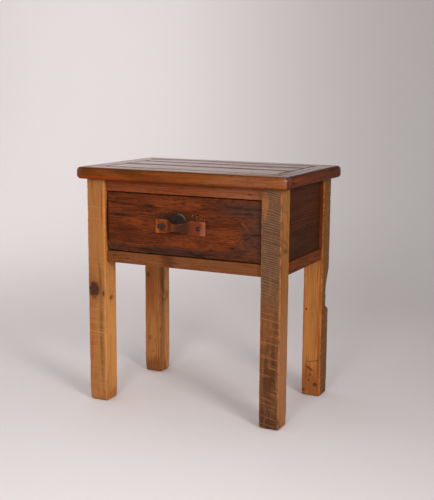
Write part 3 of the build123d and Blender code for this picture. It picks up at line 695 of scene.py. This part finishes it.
# Rounding of each border's inner edge, and how far the wax is rubbed off and shade painted beside it
border_joints = {
    "top_front_board": (0.003, 0.006), "top_right_board": (0.0015, 0.002), "top_rear_board": (0.003, 0.008),
    "top_left_board": (0.0015, 0.002),
}
left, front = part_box("top_left_board"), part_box("top_front_board")
right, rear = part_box("top_right_board"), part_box("top_rear_board")
top_low = Vector((left[0].x, front[0].y, front[0].z))
top_high = Vector((right[1].x, rear[1].y, rear[1].z))
field_low = Vector((left[1].x, front[1].y, top_low.z))
field_high = Vector((right[0].x, rear[0].y, top_high.z))
ends, edges = (top_low.x, top_high.x), (top_low.y, top_high.y)
corners = [(x, y, top_high.z - rubbed_depth) for x in ends for y in edges]
for number, (node, (inner_round, inner_brink)) in enumerate(border_joints.items()):
    low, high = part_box(node)
    run = runs[node.split("_")[1]]
    axis = 0 if run[0] else 1
    low[axis], high[axis] = top_low[axis], top_high[axis]
    light, dark = border_tones.get(node, usual_border)
    wood = dict(light=light, dark=dark, ring=0.005, pith=(low[1 - axis] - 0.03, low.z - 0.02), streak=0.15,
                mottle=0.8, fleck=0.3, worn=dark, patches=border_patches.get(node, ()), rough=0.3, gloss=0.02,
                wax=0.86, polish=corners)
    fitted(node, "mitred", "top_wood", low, high, run, upward, 60 + number, wood, row=0.0025,
           arris=inner_round, wear=0.001, low_brink=0.013, high_brink=inner_brink, outer_edge=border_round,
           end_arris=0.0006, mitre=1.0, low_corner=corner_round, high_corner=corner_round, unevenness=0.0005)

half_gap = Vector((plank_gap / 2, plank_gap / 2, 0.0))
plank_front = field_low.y
plank_middles = []
# How far the wax is rubbed off and shade painted along each plank's front and rear edge
plank_brinks = {"top_front_plank": (0.006, 0.017), "top_middle_plank": (0.017, 0.012),
                "top_rear_plank": (0.012, 0.008)}
for number, (node, (front_brink, rear_brink)) in enumerate(plank_brinks.items()):
    plank_rear = field_high.y if node == "top_rear_plank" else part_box(node)[1].y + plank_gap / 2
    low = Vector((field_low.x, plank_front, top_low.z)) + half_gap
    high = Vector((field_high.x, plank_rear, top_high.z)) - half_gap
    plank_middles.append((plank_front + plank_rear) / 2)
    plank_front = plank_rear
    wood = dict(light=(130, 74, 42), dark=(82, 43, 24), ring=0.006, streak=0.5, worn=(34, 19, 12), rough=0.3,
                pith=(plank_middles[-1] + 0.02, low.z - 0.03), gloss=0.04, wax=0.86)
    fitted(node, "laid", "top_wood", low, high, to_right, upward, 70 + number, wood, row=0.003,
           arris=joint_round, wear=0.0015, tongue=0.002, low_brink=front_brink, high_brink=rear_brink,
           unevenness=0.0006)
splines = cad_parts["mitre_splines"].data
splines.materials.clear()
splines.materials.append(bpy.data.materials["left_runner_wood"])

# Screws
# Cross-headed steel wood screws, dulled and rusty in places. They are driven up through the kickers,
# sunk in counterbores, and hold the top down.
screws, asked = start_tree("screws", {
    "Points": "Geometry", "Head": 0.0045, "Head height": 0.003, "Shank": 0.00225, "Length": 0.044,
    "Slot": 0.0013, "Finish": "Material",
})


def draw_screws():
    head, height = asked["Head"], asked["Head height"]
    shank, length, slot = asked["Shank"], asked["Length"], asked["Slot"]

    def raised(shape, z):
        return moved(shape, (z * 0.0).joined(0.0, z))

    disc = head.node("GeometryNodeMeshCylinder", values={"Vertices": 32, "Radius": head, "Depth": height})
    long, deep = head * 1.2, slot * 2.0
    bars = [long.joined(slot, deep), slot.joined(long, deep)]
    cutters = [raised(head.node("GeometryNodeMeshCube", values={"Size": bar}), height * -0.5) for bar in bars]
    cut = head.node("GeometryNodeMeshBoolean", {"operation": "DIFFERENCE", "solver": "EXACT"}, {0: disc})
    for cutter in cutters:
        cut.tree.links.new(cutter.socket, cut.socket.node.inputs[1])
    rod = head.node("GeometryNodeMeshCylinder", values={"Vertices": 16, "Radius": shank, "Depth": length})
    screw = both(raised(cut, height * -0.5), raised(rod, length * 0.5))
    spin = head.node("FunctionNodeRandomValue", {"data_type": "FLOAT"}, {"Max": 3.0, "Seed": 5}, 1)
    place = {"Points": asked["Points"], "Instance": screw, "Rotation": (spin * 0.0).joined(0.0, spin)}
    end_tree(head.node("GeometryNodeInstanceOnPoints", values=place), asked["Finish"])


draw_screws()


def forged(name, light, dark, rough, rusty):
    """Bare metal that has dulled, with rust in patches and small dents."""
    material, shader, spot = start_finish(name)
    dent = spot.noise((420.0, 420.0, 420.0), 4.0)
    rust = spot.noise((160.0, 160.0, 160.0), 3.0).ramp(0.52, 0.7) * rusty
    colour = rust.between(dent.ramp(0.3, 0.7).between(tone(*dark), tone(*light)), tone(96, 52, 28))
    colour.into(shader, "Base Color")
    (dent * 0.3 + rust * 0.3 + rough).into(shader, "Roughness")
    (1.0 - rust).into(shader, "Metallic")
    dent.bump(shader, 0.5, 0.0006)
    return material


low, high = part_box("top_screws")
steel = forged("screw_steel", (176, 176, 178), (110, 110, 114), 0.25, 0.4)
screw_head, screw_height = 0.0045, 0.003
sides = (low.x + screw_head, high.x - screw_head)
places = [(x, y, low.z + screw_height) for y in plank_middles for x in sides]
shape = {"Head": screw_head, "Head height": screw_height, "Length": high.z - low.z - screw_height,
         "Finish": steel}
mesh = grown(screws, "top_screws", shape, places)
shown("top_screws_driven", mesh, "table", "fastener_steel", "top_screws")

# Drawer box
# Sides and back of plain planed boards, dovetailed at every corner, with a thin bottom board
# that slides in grooves and is nailed up into the back with square cut nails.
box_boards = {"drawer_left_side": 1, "drawer_right_side": 1, "drawer_back": 0, "drawer_bottom": 0}
for number, (node, along) in enumerate(box_boards.items()):
    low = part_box(node)[0]
    slot = "bottom_board" if node == "drawer_bottom" else "drawer_box_wood"
    planed(node, "drawer", slot, 0.0005, along, light=(182, 136, 86), dark=(140, 94, 54), seed=80 + number,
           pith=(low[1 - along] - 0.04, low.z - 0.06), streak=0.3, mottle=0.3, worn=(198, 156, 106),
           rough=0.5)

# Square nails with a low hammered pyramid for a head, driven along local -Z
nails, asked = start_tree("square_nails", {
    "Points": "Geometry", "Head": 0.011, "Edge": 0.0012, "Point": 0.003, "Shank": 0.004, "Length": 0.02,
    "Turn": (0.0, 0.0, 0.0), "Finish": "Material",
})


def draw_nails():
    head, shank, length = asked["Head"], asked["Shank"], asked["Length"]
    counts = {"Vertices X": 13, "Vertices Y": 13, "Vertices Z": 4}
    block = head.node("GeometryNodeMeshCube", values={"Size": (2.0, 2.0, 2.0), **counts})
    spot = head.node("GeometryNodeInputPosition")
    x, y, z = spot.parts()
    off = x.size().most(y.size())
    round_off = 1.0 - (x * x * y * y) * 0.06
    dents = spot.noise((2.1, 2.1, 1.0), 2.0) - 0.5
    rise = (1.0 - off).most(0.0).least(0.72) * asked["Point"] * 1.38
    high = (asked["Edge"] + rise + dents * asked["Point"] * 0.35) * z.ramp(-1.0, 1.0)
    place = (x * head * 0.5 * round_off).joined(y * head * 0.5 * round_off, high)
    shape = head.node("GeometryNodeSetPosition", values={"Geometry": block, "Position": place})
    rod = head.node("GeometryNodeMeshCube", values={"Size": shank.joined(shank, length)})
    rod = moved(rod, (length * 0.0).joined(0.0, length * -0.5))
    place = {"Points": asked["Points"], "Instance": both(shape, rod), "Rotation": asked["Turn"]}
    end_tree(head.node("GeometryNodeInstanceOnPoints", values=place), asked["Finish"])


draw_nails()
low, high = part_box("drawer_bottom_nails")
head, edge = 0.0044, 0.0008
row = ((low.y + high.y) / 2, low.z + edge)
places = [(x, *row) for x in (low.x + head / 2, (low.x + high.x) / 2, high.x - head / 2)]
shape = {
    "Head": head, "Edge": edge / 2, "Point": edge / 2, "Shank": 0.002, "Length": high.z - row[1],
    "Turn": Vector((math.pi, 0.0, 0.0)),
    "Finish": forged("cut_nail_steel", (120, 118, 116), (70, 68, 68), 0.4, 0.7),
}
mesh = grown(nails, "drawer_bottom_nails", shape, places)
shown("drawer_bottom_cut_nails", mesh, "drawer", "fastener_steel", "drawer_bottom_nails")

# Drawer front
# One dark, streaky board with a black knot over the pull, rubbed round at its lower left corner.
# The sides' half-blind dovetails stand a hair proud of its ends.
end_shy = Vector((0.0003, 0.0, 0.0))
DARK_MARK_AND_SHADE = (54, 36, 30)
RIGHT_END_SHADE = (72, 48, 38)
RUST = (134, 64, 27)
low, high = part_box("drawer_front")
front_y = low.y


def face_spots(*rows):
    """Knots or holes in the drawer's face: middle across and up, reach across and up, tone."""
    return [((x, front_y, z), (wide, None, tall), shade) for x, z, wide, tall, shade in rows]


patch_depth = 0.03
wood = dict(
    light=(108, 52, 26), dark=(56, 26, 15), ring=0.0055, pith=(front_y - 0.01, 0.55),
    streak=0.5, figure=0.6, mottle=0.7, fleck=0.6, worn=(50, 27, 17), gloss=0.04,
    knots=face_spots(
        (-0.009, 0.523, 0.025, 0.017, (50, 41, 38)),
        (-0.100, 0.553, 0.016, 0.004, (56, 40, 32)),
        (-0.185, 0.525, 0.030, 0.003, (56, 34, 24)),
    ),
    holes_and_shade=face_spots(
        (0.036, 0.528, 0.0060, 0.0050, (48, 40, 24)),
        (0.047, 0.538, 0.0050, 0.0030, (64, 30, 18)),
        (0.032, 0.536, 0.0014, 0.0014, (164, 112, 84)),
        (0.044, 0.533, 0.0012, 0.0024, (150, 96, 70)),
        (0.056, 0.528, 0.0012, 0.0012, (146, 94, 70)),
        (0.066, 0.525, 0.0014, 0.0014, (160, 108, 80)),
        (0.145, 0.459, 0.0026, 0.0030, (30, 18, 14)),
    ),
    scars_and_painted_light=[((x, front_y, z), (to_x, front_y, to_z), *look) for x, z, to_x, to_z, *look in (
        # Painted highlight: a pale arc along the knot's upper right edge, in three strokes
        (-0.010, 0.537, -0.001, 0.536, 0.0022, (84, 78, 72)),
        (-0.001, 0.536, 0.008, 0.529, 0.0030, (92, 86, 80)),
        (0.008, 0.529, 0.011, 0.521, 0.0020, (80, 72, 66)),
        (0.168, 0.522, 0.177, 0.512, 0.0018, DARK_MARK_AND_SHADE),
        (0.171, 0.526, 0.180, 0.517, 0.0020, (116, 60, 30)),
        (0.180, 0.517, 0.189, 0.506, 0.0030, (108, 54, 28)),
        (0.176, 0.484, 0.167, 0.473, 0.0018, (116, 58, 28)),
        (0.167, 0.473, 0.178, 0.460, 0.0026, (110, 54, 26)),
        (0.187, 0.448, 0.199, 0.453, 0.0020, (104, 54, 32)),
        # Painted highlight: a pale grey mark on the rubbed lower left corner
        (-0.224, 0.446, -0.219, 0.435, 0.0030, (84, 68, 60)),
    )],
    patches=[((x, front_y, z), (wide, patch_depth, tall), *look) for x, z, wide, tall, *look in (
        (-0.15, 0.510, 0.040, 0.012, (150, 70, 24), 0.45),
        (-0.19, 0.458, 0.030, 0.014, (134, 60, 24), 0.3),
        (-0.02, 0.458, 0.050, 0.014, (134, 58, 24), 0.3),
        (-0.02, 0.562, 0.10, 0.022, RUST, 0.45),
        (-0.10, 0.50, 0.06, 0.02, RUST, 0.25),
        (0.03, 0.455, 0.10, 0.014, RUST, 0.3),
        (0.13, 0.49, 0.05, 0.02, RUST, 0.35),
        # Painted shade: the right end beside the front right post, and the top right part under the rail
        (0.21, 0.50, 0.050, 0.10, RIGHT_END_SHADE, 0.85),
        (0.17, 0.565, 0.08, 0.03, RIGHT_END_SHADE, 0.7),
        (-0.19, 0.478, 0.06, 0.035, (76, 32, 14), 0.6),
        (-0.13, 0.556, 0.05, 0.018, (88, 40, 17), 0.5),
        (0.15, 0.445, 0.05, 0.016, DARK_MARK_AND_SHADE, 0.6),
        (-0.19, 0.44, 0.045, 0.02, DARK_MARK_AND_SHADE, 0.65),
        # Painted shadow: the dark patch just above the left tab of the pull
        (-0.05, 0.527, 0.032, 0.012, DARK_MARK_AND_SHADE, 0.8),
        (-0.05, 0.436, 0.10, 0.015, DARK_MARK_AND_SHADE, 0.85),
        (0.06, 0.437, 0.07, 0.012, DARK_MARK_AND_SHADE, 0.7),
    )],
)
fitted("drawer_front", "board", "drawer_front_wood", low + end_shy, high - end_shy, to_right, to_front, 90,
       wood, body="drawer", row=0.0025, arris=0.0022, wear=0.0015, low_corner=0.009, unevenness=0.0005)

# Strap pull
# A stiff leather strap bowed out between two flat tabs and narrowed to a waist in the middle,
# each tab held by one square nail with a hammered head.
bowed_strap, asked = start_tree("bowed_strap", {
    "Size": (0.146, 0.037, 0.004), "Place": (0.0, 0.0, 0.0), "Turn": (0.0, 0.0, 0.0),
    "Bow start": -0.043, "Bow end": 0.031, "Standoff": 0.020, "Waist": 0.5, "Edge": 0.0013,
    "Corner": 0.003, "Curl": 0.0012, "Finish": "Material",
})


def draw_bowed_strap():
    edge = asked["Edge"]
    half_x, half_y, half_z = (asked["Size"] * 0.5).parts()
    counts = {"Vertices X": 160, "Vertices Y": 36, "Vertices Z": 9}
    block = edge.node("GeometryNodeMeshCube", values={"Size": asked["Size"], **counts})
    spot = edge.node("GeometryNodeInputPosition")
    x, y, z = spot.parts()

    # Rounded edges, and tab corners rounded in plan
    core = x.inside(half_x, edge).joined(y.inside(half_y, edge), z.inside(half_z, edge))
    outward = spot - core
    outward = outward.sum("NORMALIZE", outward)
    x, y, z = (core + outward * edge).parts()
    corner = asked["Corner"]
    past_x = (x.size() - half_x + corner).most(0.0)
    past_y = (y.size() - half_y + corner).most(0.0)
    pull = drawn_in(past_x, past_y)
    x, y = x + past_x * pull * x.sign(), y + past_y * pull * y.sign()

    # Bow and waist
    span = asked["Bow end"] - asked["Bow start"]
    share = ((x - asked["Bow start"]) / span).most(0.0).least(1.0)
    wave = share.sum("SINE", share * math.pi)
    twice = share.sum("SINE", share * (2.0 * math.pi))
    rise = wave * wave * asked["Standoff"]
    slope = twice * math.pi * asked["Standoff"] / span
    steep = (slope * slope + 1.0).sum("SQRT", slope * slope + 1.0)
    narrow = 1.0 - (1.0 - asked["Waist"]) * wave ** 1.4
    lift = asked["Curl"] * (y / half_y) ** 2.0 * (x.size() / half_x) ** 6.0
    ripple = (spot.noise((60.0, 90.0, 0.0), 3.0) - 0.5) * 0.0008 * wave
    out = z + half_z + lift + ripple
    place = (x - slope / steep * out).joined(y * narrow, rise + out / steep)

    from_edge = (half_y - spot.parts()[1].size()).least(half_x - spot.parts()[0].size())
    marks = {"arris": from_edge.ramp(0.003, 0.0005), "steepness": slope.size().ramp(0.5, 0.8)}
    shape = shaped(block, marks, place)
    end_tree(moved(shape, asked["Place"], asked["Turn"]), asked["Finish"])


draw_bowed_strap()


def strap_leather():
    """Thick tanned leather: pebbled grain, lighter rubbed edges, darker where steep and by the left nail.
    Painted shade darkens the bow's flanks and crest; a pale band at the right end is a painted highlight.
    """
    material, shader, spot = start_finish("strap_leather")
    cloud = spot.noise((45.0, 45.0, 45.0), 4.0, 0.6)
    pebble = spot.node("ShaderNodeTexVoronoi", values={"Vector": spot, "Scale": 850.0})
    pore = spot.noise((900.0, 900.0, 900.0), 2.0)
    along = spot.parts()[0] + (cloud - 0.5) * 0.012
    colour = cloud.ramp(0.35, 0.65).between(tone(124, 54, 16), tone(178, 90, 24))
    nail_side = ((spot - (-0.054, front_y, 0.501)) * (100.0, 0.0, 90.0)).length() + (cloud - 0.5) * 2.0
    for share, shade in (
        # Painted shade: the bow's left flank darker
        (along.ramp(-0.054, -0.034) * 0.8, (100, 60, 34)),
        # Painted shade: the crest and right flank of the bow darkest
        (along.ramp(-0.020, 0.000) * 0.95, (56, 30, 19)),
        (along.ramp(0.016, 0.036) * 0.95, (122, 52, 26)),
        # Painted highlight: a pale band along the right end of the right tab, on its curled edge
        (along.ramp(0.053, 0.062) * cloud.ramp(0.3, 0.55) * 0.7, (166, 98, 66)),
        (nail_side.ramp(1.3, 0.5) * 0.9, (62, 27, 16)),
        (pebble.ramp(0.2, 0.6) * 0.35, (74, 34, 18)),
        (spot.mark("steepness") * 0.4, (66, 32, 18)),
        (spot.mark("arris") * cloud.ramp(0.4, 0.7) * 0.25, (180, 116, 72)),
    ):
        colour = share.between(colour, tone(*shade))
    colour.into(shader, "Base Color")
    (cloud * 0.2 + pore * 0.15 + 0.3).into(shader, "Roughness")
    height = pebble * 0.5 + pore * 0.3 + cloud * 0.6
    height.bump(shader, 0.4, 0.0008)
    shader.inputs["Specular IOR Level"].default_value = 0.06
    return material


low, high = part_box("drawer_pull")
strap_thick = 0.004
strap_size = Vector((high.x - low.x, high.z - low.z, strap_thick))
strap_middle = (low.x + high.x) / 2
left_tab, right_tab = 0.030, 0.042
out_turn = Vector(laid(to_right, to_front).to_euler())
shape = {
    "Size": strap_size, "Place": Vector((strap_middle, front_y, (low.z + high.z) / 2)), "Turn": out_turn,
    "Bow start": low.x + left_tab - strap_middle, "Bow end": high.x - right_tab - strap_middle,
    "Standoff": front_y - low.y - strap_thick, "Finish": strap_leather(),
}
shown("drawer_pull_strap", grown(bowed_strap, "drawer_pull", shape), "drawer", "strap", "drawer_pull")

low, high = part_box("drawer_pull_nails")
head, edge = 0.011, 0.0012
tab_face = front_y - strap_thick
places = [(x, tab_face, (low.z + high.z) / 2) for x in (low.x + head / 2, high.x - head / 2)]
shape = {
    "Head": head, "Edge": edge, "Point": tab_face - low.y - edge, "Length": high.y - tab_face,
    "Turn": out_turn,
    "Finish": forged("nail_iron", (70, 78, 90), (30, 33, 40), 0.4, 0.3),
}
mesh = grown(nails, "drawer_pull_nails", shape, places)
shown("drawer_pull_forged_nails", mesh, "drawer", "nail_iron", "drawer_pull_nails")

# Studio
# A pale paper sweep that is floor and wall in one, lit by two soft lamps in front, one on the wall
# and a large dim one overhead, in a dim room.
floor_z = -0.0006
floor_front, bend_start, bend, bend_step, bend_rows = -4.0, 1.3, 1.2, 0.11, 13
wall_y, wall_top, half_width = 2.5, 5.0, 6.0
profile = [(floor_front, floor_z), (bend_start, floor_z)]
for angle in [bend_step * row for row in range(1, bend_rows + 1)]:
    profile.append((bend_start + bend * math.sin(angle), floor_z + bend - bend * math.cos(angle)))
profile += [(wall_y, bend), (wall_y, wall_top)]
points = [(x, y, z) for x in (-half_width, half_width) for y, z in profile]
count = len(profile)
mesh = bpy.data.meshes.new("sweep")
mesh.from_pydata(points, [], [(i, i + count, i + count + 1, i + 1) for i in range(count - 1)])
mesh.shade_smooth()
paper, shader, spot = start_finish("paper")
x, y, z = spot.parts()
# Painted shade: the paper darkens towards the right and the back, standing for light that falls off there
paper_with_painted_shade = (x * 0.9 + y * 0.44).ramp(-0.4, 1.2).between((0.80, 0.735, 0.72, 1.0), (0.50, 0.462, 0.448, 1.0))
paper_with_painted_shade.into(shader, "Base Color")
shader.inputs["Roughness"].default_value = 0.9
mesh.materials.append(paper)
floor = bpy.data.objects.new("sweep", mesh)
bpy.context.scene.collection.objects.link(floor)


def lamp(name, place, aim, size, power):
    light = bpy.data.lights.new(name, "AREA")
    light.energy = power
    light.size = size
    made = bpy.data.objects.new(name, light)
    made.location = place
    made.rotation_euler = (Vector(aim) - Vector(place)).to_track_quat("-Z", "Y").to_euler()
    bpy.context.scene.collection.objects.link(made)


lamp("front_lamp", (0.45, -2.56, 1.5), (0, 0, 0.4), 0.6, 20)
lamp("right_lamp", (2.05, -1.43, 1.45), (0, 0, 0.4), 0.6, 30)
lamp("wall_lamp", (-2.4, 0.6, 1.3), (-1.6, 2.5, 0.9), 0.8, 11)
lamp("ceiling_lamp", (0.0, -0.4, 3.2), (0, 0, 0), 3.0, 5)
room = bpy.data.worlds.new("room")
room.use_nodes = True
glow = room.node_tree.nodes["Background"].inputs
glow["Color"].default_value = (0.95, 0.97, 1.0, 1.0)
glow["Strength"].default_value = 0.6
bpy.context.scene.world = room

# Camera
# It stands where the photograph was taken from, found from the straight edges in the photograph.
camera_place = (1.1555, -2.3238, 0.8717)
image_height = 500
focal_pixels = 951.65
yaw, pitch, roll = math.radians(26.04), math.radians(9.92), math.radians(0.34)
ahead = Vector((-math.sin(yaw) * math.cos(pitch), math.cos(yaw) * math.cos(pitch), -math.sin(pitch)))
level = Vector((math.cos(yaw), math.sin(yaw), 0.0))
above = level.cross(ahead)
across = level * math.cos(roll) + above * math.sin(roll)
camera = bpy.data.objects.new("camera", bpy.data.cameras.new("camera"))
camera.data.sensor_width = 36.0
camera.data.lens = focal_pixels / image_height * camera.data.sensor_width
camera.location = camera_place
camera.rotation_euler = Matrix((across, across.cross(ahead), -ahead)).transposed().to_euler()
bpy.context.scene.collection.objects.link(camera)
bpy.context.scene.camera = camera
bpy.context.scene.view_settings.view_transform = "Standard"
